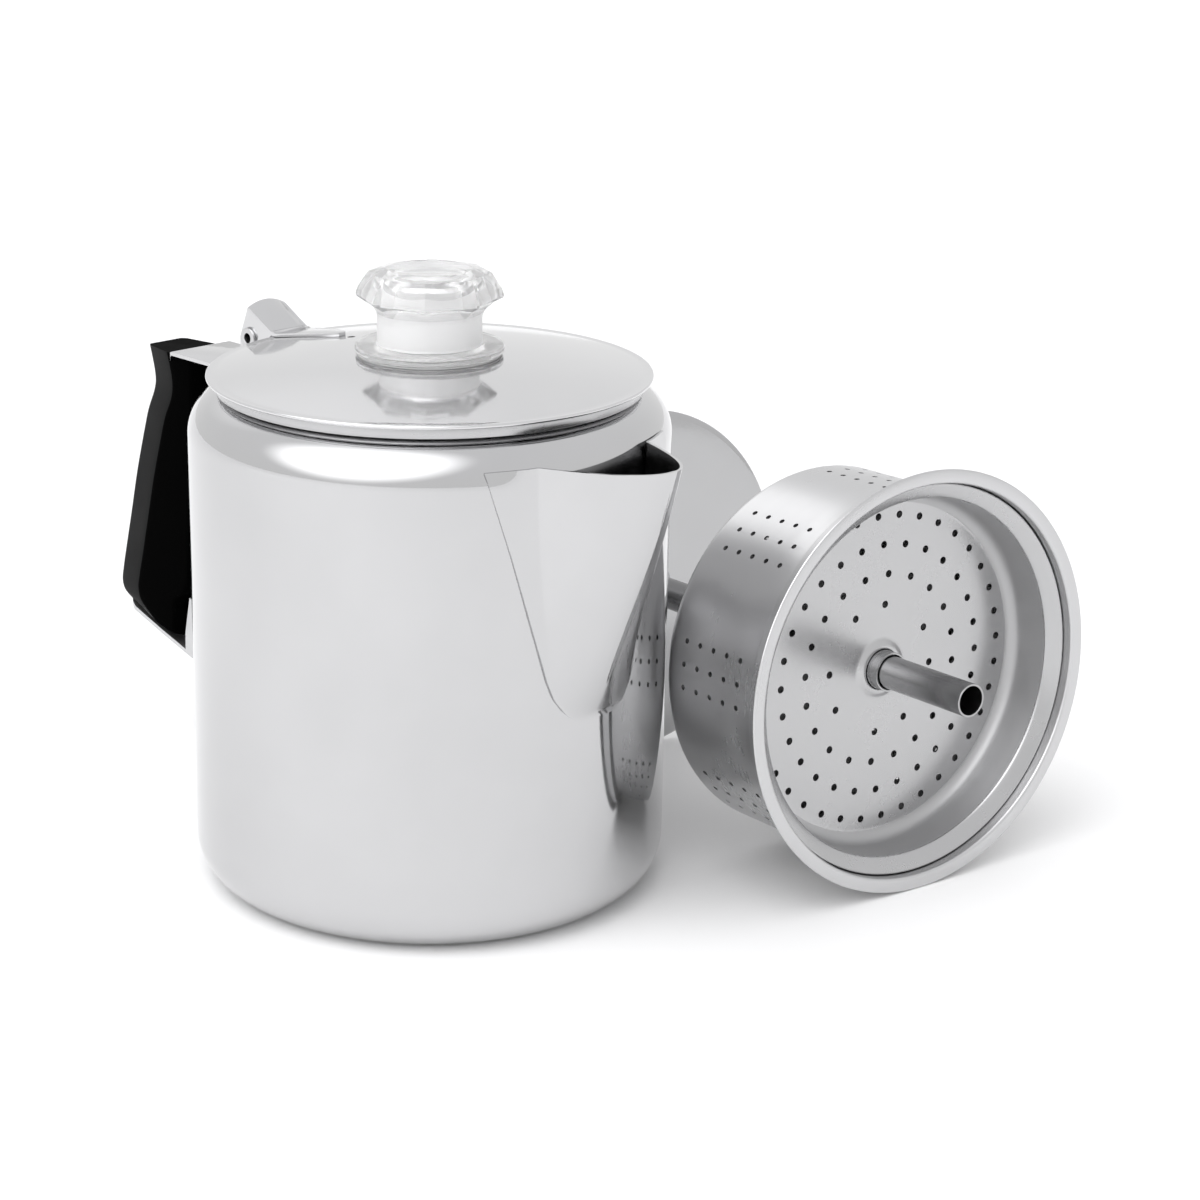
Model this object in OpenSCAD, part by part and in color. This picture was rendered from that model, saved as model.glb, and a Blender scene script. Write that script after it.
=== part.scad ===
// Camping coffee percolator: closed pot with spout and side handle, and its brew set lying beside it.
// The pot stands on z = 0 with its axis on Z. The spout points along +X, the handle along -X.

/* [Pot] */
// Outside radius of the pot
pot_r = 68; // [60:0.5:80]
// Height where the straight wall ends
pot_straight = 132; // [110:1:150]
// Radius of the rounded shoulder and of the bottom corner
pot_round = 13; // [8:0.5:18]
// Sheet thickness of the pot
pot_t = 0.8; // [0.6:0.1:1.5]
// Outer radius of the mouth edge
mouth_r = 58.9; // [50:0.1:64]
// Diameter of the pour holes behind the spout
pour_d = 5; // [3:0.5:8]

/* [Spout] */
// Height of the lowest point of the spout seam
spout_z0 = 65; // [50:1:90]
// Height of the spout lip at its tip
spout_z1 = 139; // [120:1:145]
// Reach of the spout tip from the pot axis
spout_x = 94.8; // [85:0.1:110]
// Sheet thickness of the spout
spout_t = 0.8; // [0.6:0.1:1.2]

/* [Handle] */
// Half width of the upper plate
plate_w = 11.2; // [8:0.1:14]
// Height of the top face of the upper plate
plate_z = 137.2; // [130:0.1:140]
// Half width of the grip
grip_w = 9; // [6:0.5:12]
// Half width of the lower strap
strap_w = 8; // [5:0.5:10]

/* [Lid] */
// Outside radius of the lid
lid_r = 62.6; // [58:0.1:66]
// Height of the lid edge
lid_z = 148.4; // [146:0.1:150]
// Rise of the lid dome above its edge
lid_rise = 5.8; // [3:0.1:12]
// Sheet thickness of the lid
lid_t = 0.8; // [0.6:0.1:1.2]
// Distance of the hinge pin behind the pot axis
pin_x = 73.2; // [70:0.1:80]
// Height of the hinge pin
pin_z = 146.5; // [143:0.1:150]
// Outside diameter of the hinge pin
pin_d = 4.3; // [3:0.1:6]

/* [Knob] */
// Radius of the knob flange
knob_r = 20.9; // [16:0.1:25]
// Radius of the knob neck
neck_r = 14.7; // [12:0.1:18]
// Height of the top of the knob
knob_top = 177.7; // [170:0.1:185]
// Inside radius of the hollow knob
knob_in = 11; // [9:0.1:12]

/* [Brew set] */
// Outside diameter of the pump tube
tube_d = 9.6; // [8:0.1:12]
// Radius of the basket wall
basket_r = 54.3; // [45:0.1:56]
// Radius of the basket flange
flange_r = 61.8; // [59:0.1:64]
// Depth of the basket below its flange
basket_h = 49.9; // [35:0.1:70]
// Depth of the perforated spreader face below the flange
spread_h = 18.8; // [10:0.1:22]
// Radius of the base disc of the pump stem
disc_r = 55.9; // [50:0.1:57]
// Distance from the basket flange down to the base disc
stem_h = 135; // [120:0.5:140]
// Length of tube standing above the flange
tube_up = 19; // [10:0.5:25]
// Diameter of the drip holes in the spreader
drip_d = 2.2; // [1:0.1:3]
// Diameter of the holes in the basket wall
side_d = 1.6; // [1:0.1:3]

/* [Hidden] */
$fn = 96;
STEEL = [0.80, 0.80, 0.81];
BRUSHED = [0.70, 0.71, 0.72];
BLACK = [0.08, 0.08, 0.08];
CLEAR = [0.85, 0.88, 0.90, 0.5];
DARK = [0.25, 0.25, 0.25];

// Points of an arc in the plane of a profile
function arc(cx, cy, r, a0, a1, n) =
  [for (i = [0 : n]) [cx + r * cos(a0 + (a1 - a0) * i / n), cy + r * sin(a0 + (a1 - a0) * i / n)]];
// Height of the lid dome at a radius
function dome(r) = lid_z + lid_rise - lid_rise * (r / lid_r) * (r / lid_r);
mouth_a = acos((mouth_r - (pot_r - pot_round)) / pot_round);
mid_r = pot_r - pot_round;

// The pose of the brew set, lying on its side with its open end turned to the front
module lay() {
  translate([105.9, 93.3, 61.86])
    rotate([0, 0, -8.6])
      rotate([0, 87.5, 0])
        children();
}

// The outside of the pot as a solid, grown by a gap
module pot_env(g) {
  rotate_extrude()
    polygon(concat([[0, -g]], arc(mid_r, pot_round, pot_round + g, -90, 0, 10),
      arc(mid_r, pot_straight, pot_round + g, 0, mouth_a, 12), [[0, 144.4 + g]]));
}

module pot_body() {
  color(STEEL)
  difference() {
    rotate_extrude()
      polygon(concat([[0, 0]], arc(mid_r, pot_round, pot_round, -90, 0, 10),
        arc(mid_r, pot_straight, pot_round, 0, mouth_a, 12),
        arc(mid_r, pot_straight, pot_round - pot_t, mouth_a, 0, 12),
        arc(mid_r, pot_round, pot_round - pot_t, 0, -90, 10), [[0, pot_t]]));
    for (i = [0 : 4])
      for (j = [-1 : 1])
        translate([60, j * 8.5, 84 + 11 * i])
          rotate([0, 90, 0])
            cylinder(d = pour_d, h = 12);
  }
}

// Spout sheet: half angle of the seam, keel reach and leaving angle at a height share s
function seam_a(z) = lookup(z, [[64.1, 4.2], [65.3, 6.4], [67.9, 9.4], [72.6, 12.4], [78.1, 14.3],
  [96.9, 18.9], [115.3, 23.3], [128.3, 26.7], [139, 29.4]]);
function keel_x(s) = 68.8 + 27.3 * s - 1.3 * pow(s, 5);
function sect(s, u) =
  let (a = seam_a(spout_z0 + s * (spout_z1 - spout_z0)),
    b = a * (0.96 - 0.38 * s),
    r0 = pot_r + 0.08 + spout_t / 2,
    xb = r0 * cos(b),
    wb = r0 * sin(b),
    xk = max(keel_x(s) - spout_t / 2, r0 + 0.3),
    v = abs(u),
    f = v / 0.72,
    t = (v - 0.72) / 0.28,
    w = wb * f,
    up = max(0, spout_z0 + s * (spout_z1 - spout_z0 - 1.8 * v) - pot_straight),
    rs = r0 - 0.75 * (pot_round - sqrt(pot_round * pot_round - up * up)) * t * t * (3 - 2 * t))
  v <= 0.72
    ? let (x = xb + (xk - xb) * (1 - pow(f, 1.94)), q = sqrt(x * x + w * w), k = max(q, r0) / q)
      [x * k, sign(u) * w * k]
    : [rs * cos(b + (a - b) * t), sign(u) * rs * sin(b + (a - b) * t)];
SN = 18;
SM = 36;
function sp(i, j, side) =
  let (s = i / SN, u = -1 + 2 * j / SM, d = 0.01,
    p = sect(s, u), p0 = sect(s, max(-1, u - d)), p1 = sect(s, min(1, u + d)),
    tx = p1[0] - p0[0], ty = p1[1] - p0[1], l = sqrt(tx * tx + ty * ty),
    z = spout_z0 + s * (spout_z1 - spout_z0 - 1.8 * abs(u)))
  [p[0] + side * ty / l * spout_t / 2, p[1] - side * tx / l * spout_t / 2, z];
module spout() {
  w = SM + 1;
  n = (SN + 1) * w;
  pts = concat([for (i = [0 : SN]) for (j = [0 : SM]) sp(i, j, 1)],
    [for (i = [0 : SN]) for (j = [0 : SM]) sp(i, j, -1)]);
  outer = [for (i = [0 : SN - 1]) for (j = [0 : SM - 1]) let (a = i * w + j)
    each [[a, a + w, a + 1], [a + 1, a + w, a + w + 1]]];
  inner = [for (i = [0 : SN - 1]) for (j = [0 : SM - 1]) let (a = n + i * w + j)
    each [[a, a + 1, a + w], [a + 1, a + w + 1, a + w]]];
  low = [for (j = [0 : SM - 1]) each [[j, j + 1, n + j], [j + 1, n + j + 1, n + j]]];
  top = [for (j = [0 : SM - 1]) let (a = SN * w + j)
    each [[a, n + a, a + 1], [a + 1, n + a, n + a + 1]]];
  left = [for (i = [0 : SN - 1]) let (a = i * w) each [[a, n + a, a + w], [a + w, n + a, n + a + w]]];
  right = [for (i = [0 : SN - 1]) let (a = i * w + SM)
    each [[a, a + w, n + a], [a + w, n + a + w, n + a]]];
  color(STEEL)
    polyhedron(points = pts, faces = concat(outer, inner, low, top, left, right), convexity = 6);
}

// A plate in the XZ plane, spread over y from -w to w
module slab(pts, w) {
  translate([0, w, 0])
    rotate([90, 0, 0])
      linear_extrude(2 * w)
        polygon(pts);
}

module upper_bracket() {
  e = -107;
  color(STEEL)
  difference() {
    union() {
      intersection() {
        slab([[-66, plate_z], [e + 0.8, plate_z], [e - 0.6, plate_z - 0.5], [e - 1.8, plate_z - 1.6],
          [e - 2.6, plate_z - 2.9], [e - 1.5, plate_z - 3.4], [e - 0.8, plate_z - 2.3],
          [e, plate_z - 1.5], [e + 0.8, plate_z - 1.2], [-66, plate_z - 1.2]], plate_w);
        translate([0, 0, 120])
          linear_extrude(20)
            polygon(concat([[-60, -plate_w], [-60, plate_w]],
              arc(e + 1.4, plate_w - 4, 4, 90, 180, 6), arc(e + 1.4, 4 - plate_w, 4, 180, 270, 6)));
      }
      intersection() {
        translate([0, 0, 110])
          difference() {
            cylinder(r = pot_r + 1.25, h = plate_z - 110.6);
            translate([0, 0, -1])
              cylinder(r = pot_r + 0.05, h = 40);
          }
        translate([-75, 0, 110])
          linear_extrude(30)
            polygon(concat([[20, -plate_w - 3], [20, plate_w + 3], [0, plate_w + 3]],
              [[0, -plate_w - 3]]));
      }
    }
    pot_env(0.05);
  }
}

module hinge_lug() {
  color(STEEL)
  difference() {
    union() {
      translate([-80, -5.3, plate_z + 0.05])
        cube([11.5, 10.6, 1.2]);
      for (s = [-1, 1])
        translate([0, s * 4.7, 0]) {
          slab([[-78.4, plate_z + 0.05], [-69.6, plate_z + 0.05], [-69.9, pin_z],
            [-76.5, pin_z]], 0.6);
          translate([-pin_x, 0.6, pin_z])
            rotate([90, 0, 0])
              cylinder(r = 3.4, h = 1.2);
        }
    }
    translate([-pin_x, 10, pin_z])
      rotate([90, 0, 0])
        cylinder(d = pin_d + 0.1, h = 20);
    pot_env(0.3);
  }
}

module lower_bracket() {
  color(STEEL)
  difference() {
    union() {
      intersection() {
        slab([[-60, 27.1], [-105, 38.3], [-119.5, 42.3], [-134.3, 46.8], [-137.4, 49.3],
          [-136.8, 50.2], [-133.8, 48.0], [-119.1, 43.5], [-104.6, 39.5], [-60, 28.4]], strap_w);
        translate([0, 0, 20])
          linear_extrude(40)
            polygon(concat([[-60, -strap_w], [-60, strap_w]],
              arc(-134.4, strap_w - 3, 3, 90, 180, 6), arc(-134.4, 3 - strap_w, 3, 180, 270, 6)));
      }
      intersection() {
        translate([0, 0, 29])
          difference() {
            cylinder(r = pot_r + 1.25, h = 18);
            translate([0, 0, -1])
              cylinder(r = pot_r + 0.05, h = 20);
          }
        translate([-75, -strap_w, 28])
          cube([20, 2 * strap_w, 30]);
      }
      // Folded arm on the strap: a top web and two side flanges
      difference() {
        slab([[-60, 27.6], [-107.5, 39.5], [-107.3, 46], [-104.7, 58], [-60, 47.1]], strap_w);
        slab([[-50, 25.9], [-112, 41.34], [-112, 58.88], [-50, 43.76]], strap_w - 0.9);
      }
    }
    pot_env(0.05);
    translate([-121, 0, 30])
      cylinder(d = 4.4, h = 20);
  }
}

// Design sections of the grip: inner x and z, outer x and z
GRIP = [[-110, 44, -134.5, 49], [-109.2, 50, -141.4, 51.6], [-108.6, 56, -143.2, 54.8],
  [-103.5, 60, -142.3, 60], [-101.2, 66, -140.4, 67], [-100.2, 80, -136.8, 80],
  [-99.2, 94, -133, 94], [-98.4, 108, -128.5, 108], [-97.8, 115, -126, 115],
  [-97.2, 122, -122.3, 122.5], [-97, 129, -121.9, 127.5], [-97, 135.9, -124.2, 135.9]];
function lerp(a, b, t) = a + (b - a) * t;
function gp(q, t, w) = [lerp(q[0], q[2], t), w, lerp(q[1], q[3], t)];
function gsec(q) =
  let (l = norm([q[0] - q[2], q[1] - q[3]]), a = 2.6 / l, b = 1 - 12.5 / l, c = 1 - 1.3 / l)
  [gp(q, 0, -grip_w + 2.5), gp(q, a, -grip_w), gp(q, b, -grip_w), gp(q, c, -7.1), gp(q, 1, -6),
    gp(q, 1, 6), gp(q, c, 7.1), gp(q, b, grip_w), gp(q, a, grip_w), gp(q, 0, grip_w - 2.5)];
module handle_grip() {
  m = 10;
  k = len(GRIP);
  pts = [for (q = GRIP) each gsec(q)];
  side = [for (i = [0 : k - 2]) for (j = [0 : m - 1]) let (a = i * m + j, b = i * m + (j + 1) % m)
    each [[a, b, a + m], [b, b + m, a + m]]];
  caps = concat([for (j = [1 : m - 2]) [0, j + 1, j]],
    [for (j = [1 : m - 2]) [(k - 1) * m, (k - 1) * m + j, (k - 1) * m + j + 1]]);
  color(BLACK)
  difference() {
    union() {
      polyhedron(points = pts, faces = concat(side, caps), convexity = 4);
      translate([-121, 0, 43.6])
        cylinder(r = 5, h = 8);
    }
    slab([[-112, 30], [-104, 39.75], [-119.1, 43.65], [-133.6, 48.15], [-136.9, 50.5], [-138.2, 49.6],
      [-139.5, 45]], 12);
    slab([[-90, 135.95], [-106.2, 135.95], [-107.2, 135.6], [-107.7, 133.3], [-110.4, 133.3],
      [-110.4, 135.4], [-109.2, 137], [-109.2, 140], [-90, 140]], 12);
    translate([-121, 0, 40])
      cylinder(d = 4.1, h = 22);
  }
}

module grip_screw() {
  color(BRUSHED)
  translate([-121, 0, 0]) {
    translate([0, 0, 38.6])
      cylinder(d1 = 5, d2 = 8, h = 1.6);
    translate([0, 0, 40.2])
      cylinder(d = 8, h = 0.8);
    translate([0, 0, 40.9])
      cylinder(d = 4, h = 20.8);
  }
}

module lid_shell() {
  n = 16;
  color(STEEL)
  difference() {
    rotate_extrude()
      polygon(concat([for (i = [0 : n]) let (r = 13.4 + (60.6 - 13.4) * i / n) [r, dome(r)]],
        arc(lid_r - 0.6, lid_z - 0.1, 0.6, 65, -90, 8),
        [[61.4, lid_z - 0.7], [61, lid_z - 0.62]],
        [for (i = [n : -1 : 0]) let (r = 13.4 + (60.3 - 13.4) * i / n) [r, dome(r) - lid_t]]));
    translate([-34, 0, 140])
      cylinder(d = 2.3, h = 20);
    // Slots that let the knob's two tabs through
    intersection() {
      translate([0, 0, 148])
        cylinder(r = 16.6, h = 8);
      for (s = [-1, 1])
        translate([s * 15, 0, 150])
          cube([10, 12, 12], center = true);
    }
  }
}

module lid_skirt() {
  color(BRUSHED)
    rotate_extrude()
      polygon([[57.2, 142.9], [58, 142.9], [58, 144.75], [60.2, 144.75], [60.2, 147.4],
        [59.4, 147.4], [59.4, 145.55], [57.2, 145.55]]);
}

// The crowned web of the hinge bracket: an arc at the back that flattens to a line at the foot
module crowned_web() {
  n = 10;
  ys = [for (i = [0 : n]) -6.7 + 13.4 * i / n];
  top = concat([for (y = ys) [-73.6, y, 155.6 + 1.7 * (1 - y * y / 44.89)]],
    [for (y = ys) [-62.9, y, 150.2]]);
  low = [for (p = top) p + [-0.55, 0, -0.83]];
  w = n + 1;
  m = 2 * w;
  up = [for (i = [0 : n - 1]) each [[i, i + 1, i + w], [i + 1, i + w + 1, i + w]]];
  down = [for (f = up) [f[2] + m, f[1] + m, f[0] + m]];
  back = [for (i = [0 : n - 1]) each [[i, i + m, i + 1], [i + 1, i + m, i + m + 1]]];
  foot = [for (i = [w : w + n - 1]) each [[i, i + 1, i + m], [i + 1, i + m + 1, i + m]]];
  ends = [[0, w, m], [w, m + w, m], [n, n + m, n + w], [n + w, n + m, n + m + w]];
  polyhedron(points = concat(top, low), faces = concat(up, down, back, foot, ends), convexity = 3);
}

module lid_hinge_bracket() {
  ear = [[-77.5, 143], [-77.5, 146.3], [-73.6, 155.6], [-72.6, 155.4], [-62.9, 150.2],
    [-62.7, 149], [-68.4, 143.9], [-70, 143]];
  color(STEEL)
  difference() {
    union() {
      for (s = [-1, 1])
        translate([0, s * 6.2, 0])
          slab(ear, 0.5);
      crowned_web();
      intersection() {
        slab(concat([[-64.2, 150.1], [-63.6, 150.6], [-62.9, 150.15]],
          [for (x = [-60.5 : 2.5 : -38]) [x, dome(-x) + 1.1]],
          [for (x = [-38 : -2.5 : -60.5]) [x, dome(-x) + 0.06]], [[-63.1, 149.1]]), 6.7);
        translate([0, 0, 140])
          linear_extrude(20)
            polygon([[-80, -6.7], [-60, -6.7], [-46, -4.4], [-39.5, -2.4], [-38, -1.2], [-38, 1.2],
              [-39.5, 2.4], [-46, 4.4], [-60, 6.7], [-80, 6.7]]);
      }
    }
    translate([-pin_x, 10, pin_z])
      rotate([90, 0, 0])
        cylinder(d = pin_d + 0.04, h = 20);
  }
}

module hinge_pin() {
  color(STEEL)
  translate([-pin_x, 0, pin_z])
    rotate([90, 0, 0])
      difference() {
        union() {
          cylinder(d = pin_d, h = 14.8, center = true);
          for (s = [-1, 1])
            translate([0, 0, s * 7.1])
              cylinder(r = 3.1, h = 0.7, center = true);
        }
        cylinder(d = 3, h = 20, center = true);
      }
}

module knob() {
  color(CLEAR)
  difference() {
    union() {
      rotate_extrude()
        polygon([[0, 154.3], [knob_r - 0.5, 154.3], [knob_r, 154.8], [knob_r, 156.1],
          [knob_r - 0.5, 156.6], [neck_r + 0.6, 156.6], [neck_r, 157.2], [neck_r, 166], [0, 166]]);
      translate([0, 0, 150.6])
        cylinder(r = 13, h = 4);
      intersection() {
        translate([0, 0, 150.6])
          cylinder(r = 16, h = 1.7);
        rotate([0, 0, 70])
          for (s = [-1, 1])
            translate([s * 15, 0, 151.4])
              cube([10, 9.5, 8], center = true);
      }
      translate([0, 0, 165.2])
        cylinder(r1 = neck_r, r2 = 17.6, h = 2.8, $fn = 8);
      translate([0, 0, 168])
        cylinder(r1 = 17.6, r2 = 20.6, h = 2.3, $fn = 8);
      translate([0, 0, 170.3])
        cylinder(r1 = 20.6, r2 = 20, h = 2.2, $fn = 8);
      translate([0, 0, 172.5])
        cylinder(r1 = 20, r2 = 17.2, h = 4, $fn = 8);
      translate([0, 0, 176.5])
        cylinder(r1 = 17.2, r2 = 13, h = knob_top - 176.5, $fn = 8);
    }
    translate([0, 0, 150])
      cylinder(r = knob_in, h = 23);
  }
}

module knob_washer() {
  color(DARK)
    rotate_extrude()
      polygon([[14.4, dome(14.4) + 0.06], [20.3, dome(20.3) + 0.06], [20.3, 154.22], [14.4, 154.22]]);
}

module pump_tube() {
  color(STEEL)
  lay()
    difference() {
      translate([0, 0, 0.3 - stem_h])
        cylinder(d = tube_d, h = stem_h - 0.3 + tube_up);
      translate([0, 0, -stem_h - 1])
        cylinder(d = tube_d - 1.2, h = stem_h + tube_up + 2);
    }
}

module base_disc() {
  t = -stem_h;
  color(STEEL)
  lay()
    rotate_extrude()
      polygon([[4.9, t + 2.3], [30, t + 2.0], [48, t + 1.2], [53.8, t + 0.6], [55.4, t + 0.2],
        [disc_r, t - 0.6], [disc_r, t - 1.2], [disc_r - 0.8, t - 1.2], [disc_r - 0.9, t - 0.8],
        [53.6, t - 0.2], [48, t + 0.4], [30, t + 1.2], [4.9, t + 1.5]]);
}

module base_boss() {
  t = -stem_h + 2.35;
  color(STEEL)
  lay()
    rotate_extrude()
      polygon(concat([[4.85, t]], arc(4.85, t, 5.2, 0, 80, 8), [[4.85, t + 5.2]]));
}

module basket_cup() {
  b = basket_r;
  h = -basket_h;
  color(BRUSHED)
  lay()
    difference() {
      rotate_extrude()
        polygon(concat([[58.2, 0], [flange_r - 0.3, 0], [flange_r, -0.3], [flange_r, -0.6],
          [flange_r - 0.2, -0.8], [58.9, -0.8], [58.3, -1.4], [58.3, -6.4], [57.6, -7.0],
          [b + 0.8, -7.2], [b, -8]], arc(b - 3, h + 3, 3, 0, -90, 5), [[5.86, h], [5.86, h + 0.7]],
          arc(b - 3, h + 3, 2.3, -90, 0, 5), [[b - 0.7, -7.6], [b, -6.6], [57, -6.3],
          [57.6, -5.8], [57.6, -0.8]]));
      // Side perforations in groups
      for (g = [0 : 7])
        for (c = [-1 : 1])
          for (k = [0 : 4])
            rotate([0, 0, 45 * g + 7.2 * c - 96.2])
              translate([48, 0, -17.1 - 5.98 * k])
                rotate([0, 90, 0])
                  cylinder(d = side_d, h = 10, $fn = 24);
      // Bottom perforations in rings
      for (q = [0 : 2])
        for (k = [0 : 11 + 8 * q])
          rotate([0, 0, k * 360 / (12 + 8 * q)])
            translate([16 + 12 * q, 0, h - 1])
              cylinder(d = side_d, h = 3, $fn = 24);
    }
}

module basket_sleeve() {
  h = -basket_h;
  color(BRUSHED)
  lay()
    difference() {
      union() {
        translate([0, 0, h - 1.0])
          cylinder(r = 5.8, h = basket_h + 1.0 - spread_h + 5);
        translate([0, 0, h + 0.75])
          cylinder(r = 8, h = 0.7);
      }
      translate([0, 0, h - 2])
        cylinder(r = 5.2, h = 60);
    }
}

module spreader_plate() {
  h = -spread_h;
  color(BRUSHED)
  lay()
    difference() {
      rotate_extrude()
        polygon([[6.15, h + 1.1], [7, h + 1], [8.9, h], [49.4, h], [51.4, h + 0.8],
          [52.4, h + 2.6], [52.6, -5.6], [54.2, -4.7],
          [56.4, -3.2], [57.1, -3.1], [57.2, -3.6], [56.7, -3.8], [54.5, -5.25], [53.15, -6.0],
          [52.95, h + 2.4], [51.8, h + 0.4], [49.5, h - 0.55],
          [8.7, h - 0.55], [6.9, h + 0.4], [6.15, h + 0.5]]);
      // Drip holes: a ring of pairs and then three full rings
      for (k = [0 : 3])
        for (s = [-1, 1])
          rotate([0, 0, 102.6 + 90 * k + 17.3 * s])
            translate([19, 0, h - 2])
              cylinder(d = drip_d, h = 4, $fn = 24);
      for (k = [0 : 19])
        rotate([0, 0, 174.6 - 18 * k])
          translate([28, 0, h - 2])
            cylinder(d = drip_d, h = 4, $fn = 24);
      for (k = [0 : 27])
        rotate([0, 0, 179 - 360 / 28 * k])
          translate([36.8, 0, h - 2])
            cylinder(d = drip_d, h = 4, $fn = 24);
      for (k = [0 : 35])
        rotate([0, 0, 172.1 - 10 * k])
          translate([45.3, 0, h - 2])
            cylinder(d = drip_d, h = 4, $fn = 24);
    }
}

pot_body();
spout();
upper_bracket();
hinge_lug();
lower_bracket();
handle_grip();
grip_screw();
lid_shell();
lid_skirt();
lid_hinge_bracket();
hinge_pin();
knob();
knob_washer();
pump_tube();
base_disc();
base_boss();
basket_cup();
basket_sleeve();
spreader_plate();
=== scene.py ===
# Camping coffee percolator: looks. Shapes are in millimetres, scaled by MM; lamps and camera in metres.
import bmesh
import bpy
import math
from mathutils import Matrix, Vector


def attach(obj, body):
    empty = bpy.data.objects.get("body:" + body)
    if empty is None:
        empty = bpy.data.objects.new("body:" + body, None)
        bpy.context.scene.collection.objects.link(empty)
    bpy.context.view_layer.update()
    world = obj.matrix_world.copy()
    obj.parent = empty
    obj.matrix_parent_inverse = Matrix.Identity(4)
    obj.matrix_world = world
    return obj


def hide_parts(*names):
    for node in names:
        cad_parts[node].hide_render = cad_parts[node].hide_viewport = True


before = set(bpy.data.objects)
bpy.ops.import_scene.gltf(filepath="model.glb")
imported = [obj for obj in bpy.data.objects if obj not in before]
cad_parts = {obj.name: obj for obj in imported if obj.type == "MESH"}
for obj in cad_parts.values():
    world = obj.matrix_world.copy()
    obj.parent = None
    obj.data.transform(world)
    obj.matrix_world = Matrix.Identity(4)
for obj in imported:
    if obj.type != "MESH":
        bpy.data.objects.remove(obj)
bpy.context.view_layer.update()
MM = 0.001
# Where the brew set lies: from its own axis frame to the shared frame, in metres
LAY = (Matrix.Translation((0.1059, 0.0933, 0.06186)) @ Matrix.Rotation(math.radians(-8.6), 4, "Z")
       @ Matrix.Rotation(math.radians(87.5), 4, "Y"))
UP = Matrix.Identity(4)

# Driving sizes in millimetres. The pot stands on z = 0; the brew set's heights are along its own axis.
POT_R, POT_ROUND, POT_STRAIGHT, MOUTH_R, SHEET = 68, 13, 132, 58.9, 0.8
POT_MID = POT_R - POT_ROUND
POUR_R = 2.5
LID_R, LID_Z, LID_RISE, SEAT_R = 62.6, 148.4, 5.8, 13.4
ROLL_MID, ROLL_Z, ROLL_R = 62.0, 148.3, 0.6
KNOB_IN, KNOB_NECK, KNOB_FLANGE = 11, 14.7, 20.9
WALL_R, WALL_HOLE_R, FLOOR_HOLE_R, CUP_FLOOR, CUP_ROUND = 54.3, 0.8, 0.95, -49.9, 3
DISH_FLOOR, DISH_MID, DISH_ROUND, DRIP_R = -18.8, 48.2, 4.2, 1.1
DISC_Z = -135
BOSS_Z = DISC_Z + 2.35


# ---------------------------------------------------------------- mesh helpers
def arc(cx, cy, r, a0, a1, n):
    """Points on a circle arc from angle a0 to a1, in degrees."""
    return [(cx + r * math.cos(math.radians(a0 + (a1 - a0) * i / n)),
             cy + r * math.sin(math.radians(a0 + (a1 - a0) * i / n))) for i in range(n + 1)]


def rounded(pts, r, n=4):
    """A closed outline with its corners rounded; r is one radius or one for each corner."""
    out = []
    k = len(pts)
    for i in range(k):
        rr = r[i] if isinstance(r, (list, tuple)) else r
        p, a, b = Vector(pts[i]), Vector(pts[i - 1]), Vector(pts[(i + 1) % k])
        u, v = a - p, b - p
        if rr <= 0 or u.length < 1e-9 or v.length < 1e-9:
            out.append(tuple(p))
            continue
        d = min(rr, u.length * 0.45, v.length * 0.45)
        s, e = p + u.normalized() * d, p + v.normalized() * d
        for j in range(n + 1):
            t = j / n
            q = s * (1 - t) ** 2 + p * 2 * t * (1 - t) + e * t * t
            out.append(tuple(q))
    return out


def new_mesh(name, verts, faces):
    """A mesh from points in millimetres."""
    me = bpy.data.meshes.new(name)
    me.from_pydata([Vector(v) * MM for v in verts], [], faces)
    me.validate()
    me.update()
    return me


def add(name, verts, faces, mat, body, nodes, sharp):
    """A piece from points and faces."""
    return finish_obj(name, new_mesh(name, verts, faces), mat, body, nodes, UP, sharp)


def finish_obj(name, me, mat, body, nodes, place, sharp):
    """A piece on a body, standing in for CAD nodes and taking the given material."""
    me.materials.clear()
    me.materials.append(mat)
    me.transform(place)
    for p in me.polygons:
        p.use_smooth = True
    me.set_sharp_from_angle(angle=math.radians(sharp))
    o = bpy.data.objects.new(name, me)
    bpy.context.scene.collection.objects.link(o)
    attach(o, body)
    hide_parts(*nodes)
    return o


def lathe_data(profile, segs):
    """A closed outline (r, z) turned round Z; a third number, up to 1, makes that ring eight-sided."""
    verts, rings = [], []
    for r, z, *share in profile:
        if r < 1e-6:
            rings.append([len(verts)] * segs)
            verts.append((0, 0, z))
            continue
        rings.append(list(range(len(verts), len(verts) + segs)))
        for i in range(segs):
            a = 2 * math.pi * i / segs
            side = math.cos(math.pi / 8) / math.cos(a % (math.pi / 4) - math.pi / 8)
            rr = r * (1 + (side - 1) * sum(share))
            verts.append((rr * math.cos(a), rr * math.sin(a), z))
    faces = []
    for a, b in zip(rings, rings[1:] + rings[:1]):
        if a[0] == a[1] and b[0] == b[1]:
            continue
        for j in range(segs):
            m = (j + 1) % segs
            face = []
            for v in (a[j], a[m], b[m], b[j]):
                if v not in face:
                    face.append(v)
            faces.append(face)
    return verts, faces


def area(profile):
    """Signed area of an outline."""
    return sum(profile[i - 1][0] * profile[i][1] - profile[i][0] * profile[i - 1][1]
               for i in range(len(profile))) / 2


def lathe(name, profile, mat, body, nodes, place=UP, segs=192, sharp=32, holes=None):
    """A turned piece, with round holes cut in it."""
    if area(profile) < 0:
        profile = profile[::-1]
    me = new_mesh(name, *lathe_data(profile, segs))
    if holes:
        me = cut(me, holes, sharp)
    return finish_obj(name, me, mat, body, nodes, place, sharp)


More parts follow.
